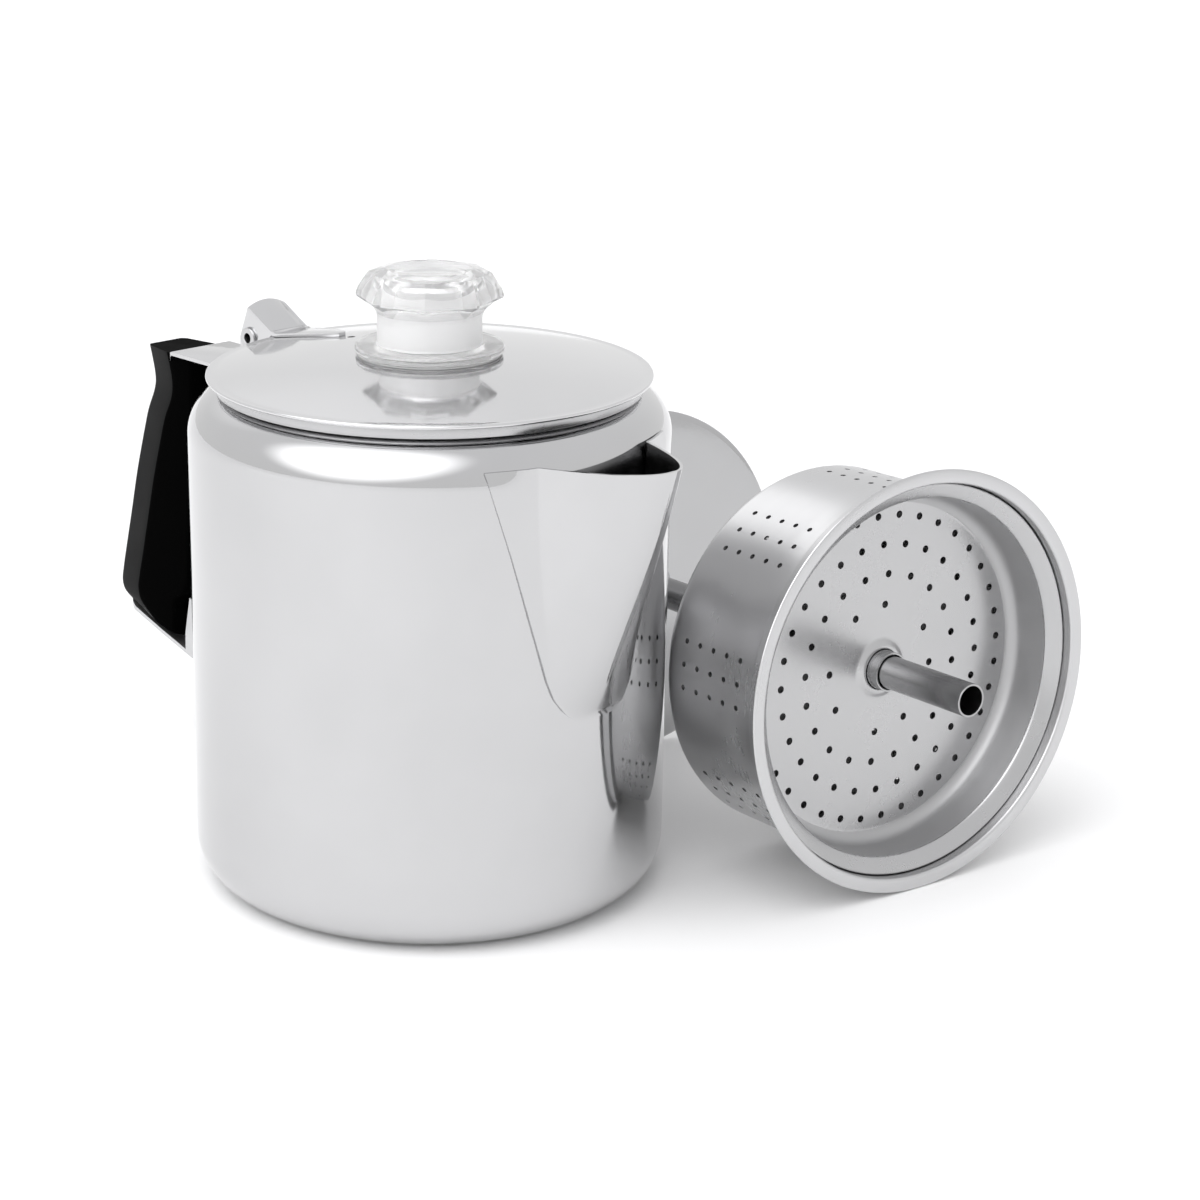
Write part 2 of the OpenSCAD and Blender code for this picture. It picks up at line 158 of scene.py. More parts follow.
def cut(me, holes, sharp):
    """Round holes, each (centre, direction, radius, length) in mm."""
    for p in me.polygons:
        p.use_smooth = True
    me.set_sharp_from_angle(angle=math.radians(sharp))
    work = bpy.data.objects.new("work", me)
    n = 20
    vs, fs = [], []
    for c, d, r, l in holes:
        d = Vector(d).normalized()
        a = d.orthogonal().normalized()
        b = d.cross(a)
        base = len(vs)
        for s in (-0.5, 0.5):
            for i in range(n):
                t = 2 * math.pi * i / n
                vs.append((Vector(c) + d * s * l + (a * math.cos(t) + b * math.sin(t)) * r) * MM)
        fs.append([base + i for i in range(n)][::-1])
        fs.append([base + n + i for i in range(n)])
        for i in range(n):
            j = (i + 1) % n
            fs.append([base + i, base + j, base + n + j, base + n + i])
    cm = bpy.data.meshes.new("cutter")
    cm.from_pydata(vs, [], fs)
    cm.update()
    cutter = bpy.data.objects.new("cutter", cm)
    for o in (work, cutter):
        bpy.context.scene.collection.objects.link(o)
    m = work.modifiers.new("b", "BOOLEAN")
    m.operation, m.object, m.solver = "DIFFERENCE", cutter, "EXACT"
    bpy.context.view_layer.update()
    dg = bpy.context.evaluated_depsgraph_get()
    out = bpy.data.meshes.new_from_object(work.evaluated_get(dg))
    for o in (work, cutter):
        bpy.data.objects.remove(o)
    return out


def refine(node, mat, body, bevel, sharp=30):
    """A copy of a CAD node with merged faces and rounded edges."""
    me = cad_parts[node].data.copy()
    bm = bmesh.new()
    bm.from_mesh(me)
    bmesh.ops.remove_doubles(bm, verts=bm.verts, dist=2e-6)
    bmesh.ops.dissolve_limit(bm, angle_limit=math.radians(0.6), verts=bm.verts, edges=bm.edges)
    es = [e for e in bm.edges if len(e.link_faces) == 2 and e.calc_face_angle(0) > math.radians(sharp)]
    bmesh.ops.bevel(bm, geom=es, offset=bevel * MM, offset_type="OFFSET", segments=3,
                    profile=0.5, affect="EDGES", clamp_overlap=True)
    bm.normal_update()
    bm.to_mesh(me)
    bm.free()
    return finish_obj(node + "_look", me, mat, body, [node], UP, sharp + 10)


# ---------------------------------------------------------------- materials
def material(name):
    """An empty material with one Principled shader."""
    m = bpy.data.materials.new(name)
    m.use_nodes = True
    nt = m.node_tree
    nt.nodes.clear()
    out = nt.nodes.new("ShaderNodeOutputMaterial")
    b = nt.nodes.new("ShaderNodeBsdfPrincipled")
    nt.links.new(b.outputs[0], out.inputs[0])
    return m, nt, b


def ramp(nt, src, lo, hi):
    """The middle of a noise value spread from lo to hi."""
    r = nt.nodes.new("ShaderNodeMapRange")
    nt.links.new(src, r.inputs["Value"])
    r.inputs["From Min"].default_value = 0.35
    r.inputs["From Max"].default_value = 0.65
    r.inputs["To Min"].default_value = lo
    r.inputs["To Max"].default_value = hi
    return r.outputs[0]


def noise(nt, vec, scale, detail=3.0, rough=0.5):
    """A noise value over the given coordinates."""
    n = nt.nodes.new("ShaderNodeTexNoise")
    n.inputs["Scale"].default_value = scale
    n.inputs["Detail"].default_value = detail
    n.inputs["Roughness"].default_value = rough
    nt.links.new(vec, n.inputs["Vector"])
    return n.outputs["Fac"]


def coords(nt, place=UP):
    """Object coordinates; for the brew set they are turned back into its own axis frame."""
    co = nt.nodes.new("ShaderNodeTexCoord").outputs["Object"]
    if place == UP:
        return co
    mp = nt.nodes.new("ShaderNodeMapping")
    mp.vector_type = "TEXTURE"
    mp.inputs["Location"].default_value = place.to_translation()
    mp.inputs["Rotation"].default_value = place.to_euler()
    nt.links.new(co, mp.inputs["Vector"])
    return mp.outputs[0]


def turned(nt, place):
    """Coordinates for lines that run round the object's own Z axis."""
    t = nt.nodes.new("ShaderNodeSeparateXYZ")
    nt.links.new(coords(nt, place), t.inputs[0])
    at = nt.nodes.new("ShaderNodeMath")
    at.operation = "ARCTAN2"
    nt.links.new(t.outputs[1], at.inputs[0])
    nt.links.new(t.outputs[0], at.inputs[1])
    sc = nt.nodes.new("ShaderNodeMath")
    sc.operation = "MULTIPLY"
    sc.inputs[1].default_value = 0.0004
    nt.links.new(at.outputs[0], sc.inputs[0])
    ln = nt.nodes.new("ShaderNodeVectorMath")
    ln.operation = "LENGTH"
    flat = nt.nodes.new("ShaderNodeCombineXYZ")
    nt.links.new(t.outputs[0], flat.inputs[0])
    nt.links.new(t.outputs[1], flat.inputs[1])
    nt.links.new(flat.outputs[0], ln.inputs[0])
    c = nt.nodes.new("ShaderNodeCombineXYZ")
    nt.links.new(sc.outputs[0], c.inputs[0])
    nt.links.new(ln.outputs["Value"], c.inputs[1])
    nt.links.new(t.outputs[2], c.inputs[2])
    return c.outputs[0]


def steel(name, base, rough, wob, lines=0.0, place=UP):
    """Stainless steel: base grey, roughness range, waviness, and turned lines where it is brushed."""
    var, tint = 0.012, (1, 1, 1.01)
    m, nt, b = material(name)
    co = coords(nt, place)
    swell = noise(nt, co, 22, 3)
    grain = noise(nt, co, 260, 4, 0.6)
    mix = nt.nodes.new("ShaderNodeMix")
    mix.data_type = "RGBA"
    nt.links.new(ramp(nt, swell, 0, 1), mix.inputs[0])
    mix.inputs[6].default_value = [(base - var) * c for c in tint] + [1]
    mix.inputs[7].default_value = [(base + var) * c for c in tint] + [1]
    nt.links.new(mix.outputs[2], b.inputs["Base Color"])
    b.inputs["Metallic"].default_value = 1.0
    added = nt.nodes.new("ShaderNodeMath")
    added.operation = "ADD"
    nt.links.new(ramp(nt, swell, rough[0], rough[1]), added.inputs[0])
    nt.links.new(ramp(nt, grain, -0.006, 0.012), added.inputs[1])
    roughness = added.outputs[0]
    if lines:
        round_z = turned(nt, place)
        fine = noise(nt, round_z, 4200, 2, 0.7)
        bands = noise(nt, round_z, 1500, 2, 0.6)
        banded = nt.nodes.new("ShaderNodeMath")
        banded.operation = "ADD"
        nt.links.new(roughness, banded.inputs[0])
        nt.links.new(ramp(nt, bands, -0.07 * lines, 0.11 * lines), banded.inputs[1])
        roughness = banded.outputs[0]
        line_bump = nt.nodes.new("ShaderNodeBump")
        line_bump.inputs["Strength"].default_value = lines
        line_bump.inputs["Distance"].default_value = 0.00003
        nt.links.new(fine, line_bump.inputs["Height"])
    bump = nt.nodes.new("ShaderNodeBump")
    bump.inputs["Strength"].default_value = wob
    bump.inputs["Distance"].default_value = 0.004
    nt.links.new(swell, bump.inputs["Height"])
    if lines:
        nt.links.new(line_bump.outputs[0], bump.inputs["Normal"])
    nt.links.new(bump.outputs[0], b.inputs["Normal"])
    nt.links.new(roughness, b.inputs["Roughness"])
    return m


def plastic(name, col, rough, spec):
    """Matt moulded plastic or rubber with a fine grain."""
    m, nt, b = material(name)
    co = coords(nt)
    swell = noise(nt, co, 40, 3)
    grain = noise(nt, co, 2600, 2, 0.6)
    mix = nt.nodes.new("ShaderNodeMix")
    mix.data_type = "RGBA"
    nt.links.new(ramp(nt, swell, 0, 1), mix.inputs[0])
    mix.inputs[6].default_value = [c * 0.8 for c in col] + [1]
    mix.inputs[7].default_value = [c * 1.25 for c in col] + [1]
    nt.links.new(mix.outputs[2], b.inputs["Base Color"])
    nt.links.new(ramp(nt, swell, rough[0], rough[1]), b.inputs["Roughness"])
    b.inputs["Specular IOR Level"].default_value = spec
    bump = nt.nodes.new("ShaderNodeBump")
    bump.inputs["Strength"].default_value = 0.25
    bump.inputs["Distance"].default_value = 0.00008
    nt.links.new(grain, bump.inputs["Height"])
    nt.links.new(bump.outputs[0], b.inputs["Normal"])
    return m


def clear(name, through, rough, col):
    """Clear or frosted plastic: how much light goes through, roughness range and colour."""
    m, nt, b = material(name)
    co = coords(nt)
    swell = noise(nt, co, 60, 2)
    b.inputs["Base Color"].default_value = (*col, 1)
    b.inputs["Transmission Weight"].default_value = through
    b.inputs["IOR"].default_value = 1.52
    nt.links.new(ramp(nt, swell, *rough), b.inputs["Roughness"])
    bump = nt.nodes.new("ShaderNodeBump")
    bump.inputs["Strength"].default_value = 0.06
    bump.inputs["Distance"].default_value = 0.001
    nt.links.new(swell, bump.inputs["Height"])
    nt.links.new(bump.outputs[0], b.inputs["Normal"])
    return m


M_POT = steel("pot_steel", 0.56, (0.06, 0.10), 0.012)
# Painted light: the lid is the pot's steel, made lighter to stand in for the brighter surroundings it
# reflects
M_LID_LIT = steel("lid_steel_painted_light", 0.67, (0.06, 0.10), 0.012)
M_BRK = steel("bracket_steel", 0.60, (0.10, 0.17), 0.03)
M_IN = steel("inner_steel", 0.50, (0.22, 0.32), 0.03, lines=0.3)
# Painted shade: the spout's inside is the pot's own steel, made dark to stand in for the shade and dark
# reflections in its mouth
M_SPOUT_SHADE = steel("spout_inside_painted_shade", 0.15, (0.2, 0.3), 0.03)
M_STRAP = steel("strap_steel", 0.60, (0.30, 0.42), 0.03)
M_PIN = steel("pin_steel", 0.55, (0.12, 0.2), 0.03)
M_BASK = steel("basket_steel", 0.58, (0.27, 0.34), 0.008, lines=0.15, place=LAY)
M_RING = steel("sleeve_steel", 0.42, (0.18, 0.26), 0.02, lines=0.3, place=LAY)
M_SPR = steel("spreader_steel", 0.49, (0.22, 0.29), 0.008, place=LAY)
M_TUBE = steel("tube_steel", 0.42, (0.15, 0.22), 0.02, lines=0.25, place=LAY)
M_WALL = steel("dish_wall_steel", 0.46, (0.42, 0.52), 0.008, place=LAY)
M_DISC = steel("disc_steel", 0.46, (0.10, 0.16), 0.012, place=LAY)
M_GRIP = plastic("grip_black", (0.0004, 0.0004, 0.0004), (0.42, 0.55), 0.004)
# Painted sheen: the grip's back is the same black plastic, its colour lifted to stand in for the light
# its chamfers catch
M_GRIP_SHEEN = plastic("grip_back_painted_sheen", (0.0025, 0.0025, 0.0026), (0.40, 0.50), 0.06)
M_WASH = plastic("washer_grey", (0.42, 0.42, 0.42), (0.5, 0.65), 0.3)
M_KNOB = clear("knob_clear", 0.84, (0.015, 0.05), (1, 1, 1))
M_FROST = clear("knob_frosted", 0.45, (0.42, 0.55), (0.97, 0.97, 0.97))

# ---------------------------------------------------------------- pot body
MOUTH_A = math.degrees(math.acos((MOUTH_R - POT_MID) / POT_ROUND))
IN_ROUND = POT_ROUND - SHEET
WALL_Z = [40, 72, 104]
pot = ([(0, 0), (20, 0)] + arc(POT_MID, POT_ROUND, POT_ROUND, -90, 0, 24) + [(POT_R, z) for z in WALL_Z]
       + arc(POT_MID, POT_STRAIGHT, POT_ROUND, 0, MOUTH_A - 0.6, 26)
       + [(58.82, 144.36), (58.7, 144.30), (58.66, 144.1)]
       + arc(POT_MID, POT_STRAIGHT, IN_ROUND, MOUTH_A, 0, 20)
       + [(POT_R - SHEET, z) for z in WALL_Z[::-1]]
       + arc(POT_MID, POT_ROUND, IN_ROUND, 0, -90, 16) + [(20, SHEET), (0, SHEET)])
holes = [((66, j * 8.5, 84 + 11 * i), (1, 0, 0), POUR_R, 8) for i in range(5) for j in (-1, 0, 1)]
lathe("pot_look", pot, M_POT, "pot", ["pot_body"], segs=256, holes=holes)

# ---------------------------------------------------------------- spout
Z0, Z1 = 65.0, 139.0
SPOUT_UP, SPOUT_ROUND = 64, 140
KEEL_R, KEEL_OUT, KEEL_BEND, KEEL_POWER = 68.8, 27.3, 1.3, 1.94
FLANGE_FROM, LIP_DIP = 0.72, 1.8
# Half angle of the seam at each height
SEAM = [(64.1, 4.2), (65.3, 6.4), (67.9, 9.4), (72.6, 12.4), (78.1, 14.3), (96.9, 18.9),
        (115.3, 23.3), (128.3, 26.7), (139, 29.4)]


def table(t, x):
    """The value at x on straight lines between the pairs of t."""
    for (a, p), (b, q) in zip(t, t[1:]):
        if x <= b:
            return p + (q - p) * max(0, x - a) / (b - a)
    return t[-1][1]


def sect(s, u):
    """The middle of the spout sheet at height share s; u runs from -1 to 1 between the seams."""
    a = table(SEAM, Z0 + s * (Z1 - Z0))
    b = a * (0.96 - 0.38 * s)
    r0 = POT_R + 0.08 + SHEET / 2
    xb, wb = r0 * math.cos(math.radians(b)), r0 * math.sin(math.radians(b))
    xk = max(KEEL_R + KEEL_OUT * s - KEEL_BEND * s ** 5 - SHEET / 2, r0 + 0.3)
    v = abs(u)
    sg = 1 if u >= 0 else -1
    if v <= FLANGE_FROM:
        f = v / FLANGE_FROM
        w = wb * f
        x = xb + (xk - xb) * (1 - f ** KEEL_POWER)
        q = math.hypot(x, w)
        k = max(q, r0) / q
        return x * k, sg * w * k
    t = (v - FLANGE_FROM) / (1 - FLANGE_FROM)
    g = math.radians(b + (a - b) * t)
    up = max(0, Z0 + s * (Z1 - Z0 - LIP_DIP * v) - POT_STRAIGHT)
    r0 -= (POT_ROUND - math.sqrt(POT_ROUND ** 2 - up * up)) * t * t * (3 - 2 * t)
    return r0 * math.cos(g), sg * r0 * math.sin(g)


def spout_mesh():
    """The spout sheet: outer and inner faces in turn, then the edges."""
    n, m = SPOUT_UP, SPOUT_ROUND
    outer, inner = [], []
    for i in range(n + 1):
        s = i / n
        for j in range(m + 1):
            u = -1 + 2 * j / m
            p = sect(s, u)
            d = 0.012
            p0, p1 = sect(s, max(-1, u - d)), sect(s, min(1, u + d))
            tx, ty = p1[0] - p0[0], p1[1] - p0[1]
            l = math.hypot(tx, ty) or 1
            z = Z0 + s * (Z1 - Z0 - LIP_DIP * abs(u))
            outer.append((p[0] + ty / l * SHEET / 2, p[1] - tx / l * SHEET / 2, z))
            inner.append((p[0] - ty / l * SHEET / 2, p[1] + tx / l * SHEET / 2, z))
    w = m + 1
    q = len(outer)
    f = []
    for i in range(n):
        for j in range(m):
            a = i * w + j
            f.append((a, a + w, a + w + 1, a + 1)[::-1])
            f.append((q + a, q + a + 1, q + a + w + 1, q + a + w)[::-1])
    for j in range(m):
        f.append((j, j + 1, q + j + 1, q + j)[::-1])
        a = n * w + j
        f.append((a, q + a, q + a + 1, a + 1)[::-1])
    for i in range(n):
        a = i * w
        f.append((a, q + a, q + a + w, a + w)[::-1])
        a = i * w + m
        f.append((a, a + w, q + a + w, q + a)[::-1])
    return outer + inner, f


v, f = spout_mesh()
spout = add("spout_look", v, f, M_POT, "pot", ["spout"], sharp=40)
spout.data.materials.append(M_SPOUT_SHADE)
# The inner faces of the spout sheet take the painted shade
for k in range(SPOUT_UP * SPOUT_ROUND):
    spout.data.polygons[2 * k + 1].material_index = 1

# ---------------------------------------------------------------- grip
# Sections from foot to top: inner x and z, outer x and z
GRIP = [(-110, 44, -134.5, 49), (-109.2, 50, -141.4, 51.6), (-108.6, 56, -143.2, 54.8),
        (-103.5, 60, -142.3, 60), (-101.2, 66, -140.4, 67), (-100.2, 80, -136.8, 80),
        (-99.2, 94, -133, 94), (-98.4, 108, -128.5, 108), (-97.8, 115, -126, 115),
        (-97.2, 122, -122.3, 122.5), (-97, 129, -121.9, 127.5), (-97, 135.9, -124.2, 135.9)]


def grip_section(q):
    """A closed section: straight sides that narrow towards the back."""
    xi, zi, xo, zo = q
    l = math.hypot(xi - xo, zi - zo)

    def at(t, y):
        return (xi + (xo - xi) * t, y, zi + (zo - zi) * t)
    # Share of the depth and half width, from the inner face to the outer one
    pts = [(0, 6.5), (2.6 / l, 9), (1 - 12.5 / l, 9), (1 - 1.3 / l, 7.1), (1, 6)]
    flat = [(t * l, -y) for t, y in pts] + [(t * l, y) for t, y in pts[::-1]]
    flat = rounded(flat, [1.0, 1.2, 2.5, 0.8, 0.8, 0.8, 0.8, 2.5, 1.2, 1.0], 4)
    return [at(t / l, y) for t, y in flat]


def catmull(rows, per=6):
    """Rows with smooth steps put between them."""
    out = []
    n = len(rows)
    for i in range(n - 1):
        p0, p1, p2, p3 = rows[max(0, i - 1)], rows[i], rows[i + 1], rows[min(n - 1, i + 2)]
        for k in range(per):
            t = k / per
            out.append(tuple(0.5 * (2 * b + (c - a) * t + (2 * a - 5 * b + 4 * c - d) * t * t
                                    + (3 * b - a - 3 * c + d) * t ** 3)
                             for a, b, c, d in zip(p0, p1, p2, p3)))
    return out + [rows[-1]]


def loft(rings):
    """A closed skin over rings of equal length."""
    v, f = [], []
    m = len(rings[0])
    for r in rings:
        v += r
    for i in range(len(rings) - 1):
        for j in range(m):
            a, b = i * m + j, i * m + (j + 1) % m
            f.append((a, b, b + m, a + m))
    f.append(tuple(range(m))[::-1])
    f.append(tuple(range(len(v) - m, len(v))))
    return v, f


gv, gf = loft([grip_section(q) for q in catmull(GRIP)])
grip = add("grip_look", gv, gf, M_GRIP, "pot", ["handle_grip"], sharp=50)
grip.data.materials.append(M_GRIP_SHEEN)
# The back and its chamfers, from corner to corner round the outer face, take the painted sheen
around, back_from, back_to = len(grip_section(GRIP[0])), 12, 37
for p in grip.data.polygons:
    if len(p.vertices) == 4 and back_from <= p.index % around < back_to:
        p.material_index = 1

# ---------------------------------------------------------------- brackets, lug, screw, pin
refine("upper_bracket", M_BRK, "pot", 0.3)
refine("lower_bracket", M_STRAP, "pot", 0.3)
refine("hinge_lug", M_BRK, "pot", 0.2)
refine("grip_screw", M_IN, "pot", 0.15)
refine("lid_hinge_bracket", M_BRK, "lid", 0.3)
refine("hinge_pin", M_PIN, "lid", 0.12)

# ---------------------------------------------------------------- lid
def dome(r):
    """Height of the lid's outer face at radius r."""
    return LID_Z + LID_RISE - LID_RISE * (r / LID_R) ** 2


lid = ([(r, dome(r)) for r in [SEAT_R + (60.6 - SEAT_R) * i / 40 for i in range(41)]]
       + arc(ROLL_MID, ROLL_Z, ROLL_R, 65, -90, 12) + [(61.7, 147.7), (61.4, 147.7), (61.0, 147.78)]
       + [(r, dome(r) - SHEET) for r in [60.3 - (60.3 - SEAT_R) * i / 30 for i in range(31)]])
vent = ((-34, 0, 150), (0, 0, 1), 1.15, 12)
lathe("lid_look", lid, M_LID_LIT, "lid", ["lid_shell"], segs=256, holes=[vent])
skirt = [(57.2, 142.9), (58, 142.9), (58, 144.75), (60.2, 144.75), (60.2, 147.4),
         (59.4, 147.4), (59.4, 145.55), (57.2, 145.55)]
lathe("skirt_look", rounded(skirt, 0.2, 2), M_IN, "lid", ["lid_skirt"])

# ---------------------------------------------------------------- knob
# Rings of radius, height and how far each is eight-sided
outline = [(KNOB_IN, 150.6, 0), (12.8, 150.6, 0), (13, 150.8, 0), (13, 154.3, 0), (20.2, 154.3, 0),
           (20.7, 154.45, 0), (KNOB_FLANGE, 154.8, 0), (KNOB_FLANGE, 156.0, 0), (20.75, 156.4, 0),
           (20.3, 156.6, 0), (15.6, 156.6, 0), (14.95, 156.8, 0), (KNOB_NECK, 157.3, 0),
           (KNOB_NECK, 160, 0), (KNOB_NECK, 163, 0), (14.75, 164.6, 0.05), (15.2, 165.8, 0.3),
           (16.2, 167.0, 0.7), (17.8, 168.2, 1), (20.4, 169.7, 1), (20.6, 170.3, 1),
           (20.5, 170.9, 1), (19.9, 172.5, 1), (19.6, 172.9, 1), (17.5, 176.3, 1),
           (17.1, 176.7, 1), (13.2, 177.6, 0.9), (12.4, 177.7, 0.6), (11.6, 177.55, 0.3),
           (9.0, 177.1, 0), (4.0, 176.8, 0), (0, 176.75, 0), (0, 173.0, 0), (6, 173.0, 0),
           (9.6, 172.6, 0), (10.7, 171.6, 0), (KNOB_IN, 170, 0), (KNOB_IN, 160, 0)]
knob = lathe("knob_look", outline, M_KNOB, "knob", ["knob"], segs=160, sharp=20)
knob.data.materials.append(M_FROST)
NECK_TOP = 165.5
for p in knob.data.polygons:
    r = math.hypot(p.center.x, p.center.y) / MM
    if p.center.z < NECK_TOP * MM and (r < KNOB_IN + 0.2 or KNOB_NECK - 0.3 < r < KNOB_NECK + 0.4):
        p.material_index = 1
refine("knob_washer", M_WASH, "knob", 0.1)

# ---------------------------------------------------------------- brew set, in its own axis frame
wall, base, turn = WALL_R, CUP_FLOOR, CUP_ROUND
cup = ([(58.0, -0.25), (58.4, -0.05), (58.9, 0), (61.3, 0), (61.65, -0.12), (61.8, -0.4),
        (61.65, -0.68), (61.3, -0.8), (59.1, -0.8), (58.6, -1.0), (58.3, -1.5), (58.3, -6.2),
        (58.1, -6.7), (57.6, -7.0), (wall + 1.0, -7.15), (wall + 0.3, -7.5), (wall, -8.2),
        (wall, -20), (wall, -34)]
       + arc(wall - turn, base + turn, turn, 0, -90, 10)
       + [(30, base), (5.86, base), (5.86, base + 0.7), (30, base + 0.7)]
       + arc(wall - turn, base + turn, turn - 0.7, -90, 0, 8)
       + [(wall - 0.7, -34), (wall - 0.7, -20), (wall - 0.7, -7.6), (wall - 0.5, -7.0),
          (wall, -6.65), (57.0, -6.3), (57.45, -6.1), (57.6, -5.7), (57.6, -0.9), (57.75, -0.5)])
# Eight groups of holes round the wall, each of three columns and five rows
GROUP_TURN, COLUMN_STEP, ROW_Z, ROW_STEP, MID_WALL = -96.2, 7.2, -17.1, 5.98, 54
strain = []
for group in range(8):
    for column in (-1, 0, 1):
        for row in range(5):
            a = math.radians(45 * group + COLUMN_STEP * column + GROUP_TURN)
            strain.append(((MID_WALL * math.cos(a), MID_WALL * math.sin(a), ROW_Z - ROW_STEP * row),
                           (math.cos(a), math.sin(a), 0), WALL_HOLE_R, 5))
# Rings of holes in the bottom
for r, count in ((16, 12), (28, 20), (40, 28)):
    for k in range(count):
        a = 2 * math.pi * k / count
        strain.append(((r * math.cos(a), r * math.sin(a), base), (0, 0, 1), FLOOR_HOLE_R, 5))
lathe("basket_look", cup, M_BASK, "basket", ["basket_cup"], LAY, segs=240, holes=strain)
sleeve = [(5.2, base - 1), (5.8, base - 1), (5.8, base + 0.75), (8, base + 0.75), (8, base + 1.45),
          (5.8, base + 1.45), (5.8, -13.8), (5.2, -13.8)]
lathe("sleeve_look", rounded(sleeve, 0.15, 2), M_RING, "basket", ["basket_sleeve"], LAY, segs=96)

base, turn = DISH_FLOOR, DISH_ROUND
dish = ([(6.15, base + 1.0), (6.4, base + 1.1), (7, base + 1.0), (7.6, base + 0.75), (8.3, base + 0.25),
         (8.9, base + 0.03), (9.6, base), (30, base), (46, base), (DISH_MID, base)]
        + arc(DISH_MID, base + turn, turn, -80, -5, 12)
        + [(52.55, base + 5.5), (52.6, -6.2), (52.75, -5.75), (53.1, -5.4), (54.3, -4.65), (56.3, -3.3),
           (56.8, -3.05), (57.1, -3.1), (57.2, -3.4), (57.0, -3.7), (56.7, -3.8), (54.5, -5.25),
           (53.5, -5.75), (53.15, -6.3), (53.1, base + 5.5)]
        + arc(DISH_MID, base + turn, turn + 0.55, -4, -80, 10)
        + [(46, base - 0.55), (9.2, base - 0.55), (7.6, base + 0.1), (6.15, base + 0.5)])
# Drip holes as (radius, angle): four pairs near the middle, then three rings with their first angles
drips = [(19, 102.6 + 90 * k + 17.3 * s) for k in range(4) for s in (-1, 1)]
for r, first, count in ((28, 174.6, 20), (36.8, 179, 28), (45.3, 172.1, 36)):
    drips += [(r, first - 360 / count * k) for k in range(count)]
holes = [((r * math.cos(math.radians(a)), r * math.sin(math.radians(a)), base), (0, 0, 1), DRIP_R, 4)
         for r, a in drips]
spreader = lathe("spreader_look", dish, M_SPR, "spreader", ["spreader_plate"], LAY, segs=240, holes=holes)
spreader.data.materials.append(M_WALL)
own_axes = LAY.inverted()
for p in spreader.data.polygons:
    c = own_axes @ p.center / MM
    if math.hypot(c.x, c.y) > DISH_MID + 0.4 and c.z < -6.2:
        p.material_index = 1

tube = [(4.2, -134.7), (4.8, -134.7), (4.8, -60), (4.8, 19), (4.2, 19), (4.2, -60)]
lathe("tube_look", rounded(tube, [0.15, 0.15, 0, 0.2, 0.15, 0], 3), M_TUBE, "stem", ["pump_tube"],
      LAY, segs=96)
# Radius and height above DISC_Z, out along the top and back along the underside
disc = [(4.9, 2.3), (16, 2.2), (30, 2.0), (40, 1.65), (48, 1.2), (53.8, 0.6), (55.2, 0.3), (55.7, -0.1),
        (55.9, -0.6), (55.9, -1.05), (55.75, -1.2), (55.25, -1.2), (55.1, -1.0), (55.0, -0.75),
        (53.6, -0.2), (48, 0.4), (40, 0.85), (30, 1.2), (4.9, 1.5)]
lathe("disc_look", [(r, DISC_Z + z) for r, z in disc], M_DISC, "stem", ["base_disc"], LAY, segs=240)
boss = ([(4.85, BOSS_Z), (9.7, BOSS_Z), (10.0, BOSS_Z + 0.15)] + arc(4.85, BOSS_Z, 5.2, 6, 80, 14)
        + [(5.0, BOSS_Z + 5.2), (4.85, BOSS_Z + 5.15)])
lathe("boss_look", boss, M_TUBE, "stem", ["base_boss"], LAY, segs=96)

# ---------------------------------------------------------------- stage, light, camera
me = bpy.data.meshes.new("floor")
FLOOR = 20
me.from_pydata([(-FLOOR, -FLOOR, 0), (FLOOR, -FLOOR, 0), (FLOOR, FLOOR, 0), (-FLOOR, FLOOR, 0)], [],
               [(0, 1, 2, 3)])
floor = bpy.data.objects.new("floor", me)
bpy.context.scene.collection.objects.link(floor)
fm, nt, fb = material("floor_pale")
fb.inputs["Base Color"].default_value = (0.84, 0.84, 0.84, 1)
nt.links.new(ramp(nt, noise(nt, coords(nt), 8), 0.65, 0.8), fb.inputs["Roughness"])
me.materials.append(fm)

world = bpy.data.worlds.new("w")
bpy.context.scene.world = world
world.use_nodes = True
nt = world.node_tree
bg = nt.nodes["Background"]
tc = nt.nodes.new("ShaderNodeTexCoord")
sep = nt.nodes.new("ShaderNodeSeparateXYZ")
nt.links.new(tc.outputs["Generated"], sep.inputs[0])
cr = nt.nodes.new("ShaderNodeValToRGB")
nt.links.new(sep.outputs[2], cr.inputs[0])
cr.color_ramp.elements[0].position = 0.0
cr.color_ramp.elements[0].color = (0.92, 0.92, 0.92, 1)
cr.color_ramp.elements[1].position = 0.75
cr.color_ramp.elements[1].color = (0.93, 0.93, 0.94, 1)
nt.links.new(cr.outputs[0], bg.inputs[0])
# Where the camera stands, seen from the pot
AZIMUTH, ELEVATION, DISTANCE, AIM_Z = math.radians(48.5), math.radians(18.11), 0.816, 0.0812


def cam_frame(right, toward, up):
    """A place given right of the camera's line, towards the camera, and up."""
    c, s = math.cos(AZIMUTH), math.sin(AZIMUTH)
    return (right * c + toward * s, right * s - toward * c, up)


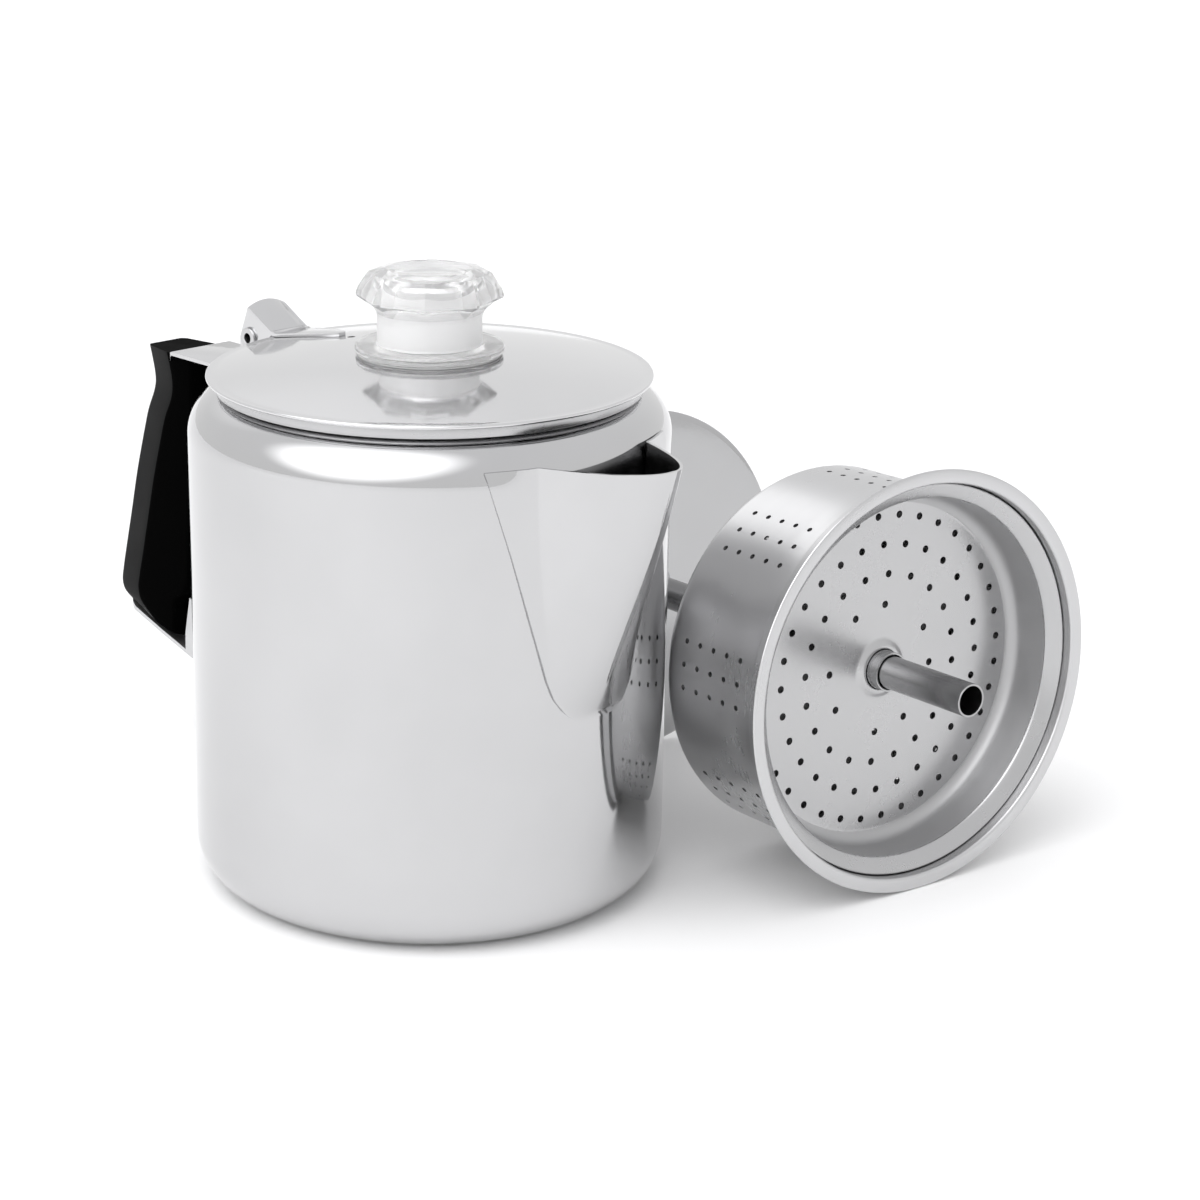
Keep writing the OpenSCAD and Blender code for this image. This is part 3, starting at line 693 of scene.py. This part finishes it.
def softbox(direction, inner, outer, gain, total):
    """A soft round light in the surroundings, bright inside one angle and gone outside the other."""
    dot = nt.nodes.new("ShaderNodeVectorMath")
    dot.operation = "DOT_PRODUCT"
    dot.inputs[1].default_value = Vector(direction).normalized()
    nt.links.new(tc.outputs["Generated"], dot.inputs[0])
    mr = nt.nodes.new("ShaderNodeMapRange")
    mr.interpolation_type = "SMOOTHSTEP"
    mr.inputs["From Min"].default_value = math.cos(math.radians(outer))
    mr.inputs["From Max"].default_value = math.cos(math.radians(inner))
    mr.inputs["To Min"].default_value = 0
    mr.inputs["To Max"].default_value = gain
    nt.links.new(dot.outputs["Value"], mr.inputs["Value"])
    ad = nt.nodes.new("ShaderNodeMath")
    ad.operation = "ADD"
    nt.links.new(mr.outputs[0], ad.inputs[0])
    if total is None:
        ad.inputs[1].default_value = 1.0
    else:
        nt.links.new(total, ad.inputs[1])
    return ad.outputs[0]


level = softbox(cam_frame(-0.44, 0.50, 0.72), 8, 46, 2.2, None)
level = softbox(cam_frame(-0.30, -0.73, 0.62), 5, 26, 0.15, level)
nt.links.new(level, bg.inputs[1])


def lamp(name, loc, size, power, target=(0.03, 0.03, 0.08), tall=None):
    """A soft lamp that reflections do not show: round, or a rectangle where its height is given."""
    d = bpy.data.lights.new(name, "AREA")
    d.energy = power
    d.size = size
    if tall:
        d.shape = "RECTANGLE"
        d.size_y = tall
    else:
        d.shape = "DISK"
    o = bpy.data.objects.new(name, d)
    bpy.context.scene.collection.objects.link(o)
    o.location = loc
    o.rotation_euler = (Vector(target) - Vector(loc)).to_track_quat("-Z", "Y").to_euler()
    o.visible_glossy = False
    return o


lamp("key_top", cam_frame(-0.28, 0.5, 1.25), 0.75, 2.2)
lamp("left", cam_frame(-1.3, 0.35, 0.5), 0.7, 1.0, tall=1.0)
lamp("right", cam_frame(1.3, 0.7, 0.5), 0.6, 0.5, tall=1.0)

# A small soft lamp for the brushed wall of the basket alone
side = lamp("basket_side", cam_frame(-0.1, -0.47, 0.47), 0.30, 0.15, (0.03, 0.085, 0.09))
side.visible_glossy = True
side.visible_camera = False
lit = bpy.data.collections.new("basket_lit")
lit.objects.link(bpy.data.objects["basket_look"])
side.light_linking.receiver_collection = lit

lens = bpy.data.cameras.new("cam")
lens.lens = 85.35
lens.sensor_width = 36
lens.shift_x = 0.142
cam = bpy.data.objects.new("cam", lens)
bpy.context.scene.collection.objects.link(cam)
outward = Vector((math.sin(AZIMUTH) * math.cos(ELEVATION), -math.cos(AZIMUTH) * math.cos(ELEVATION),
                  math.sin(ELEVATION)))
cam.location = Vector((0, 0, AIM_Z)) + outward * DISTANCE
cam.rotation_mode = "QUATERNION"
cam.rotation_quaternion = (-outward).to_track_quat("-Z", "Y")
bpy.context.scene.camera = cam
bpy.context.scene.view_settings.view_transform = "Standard"
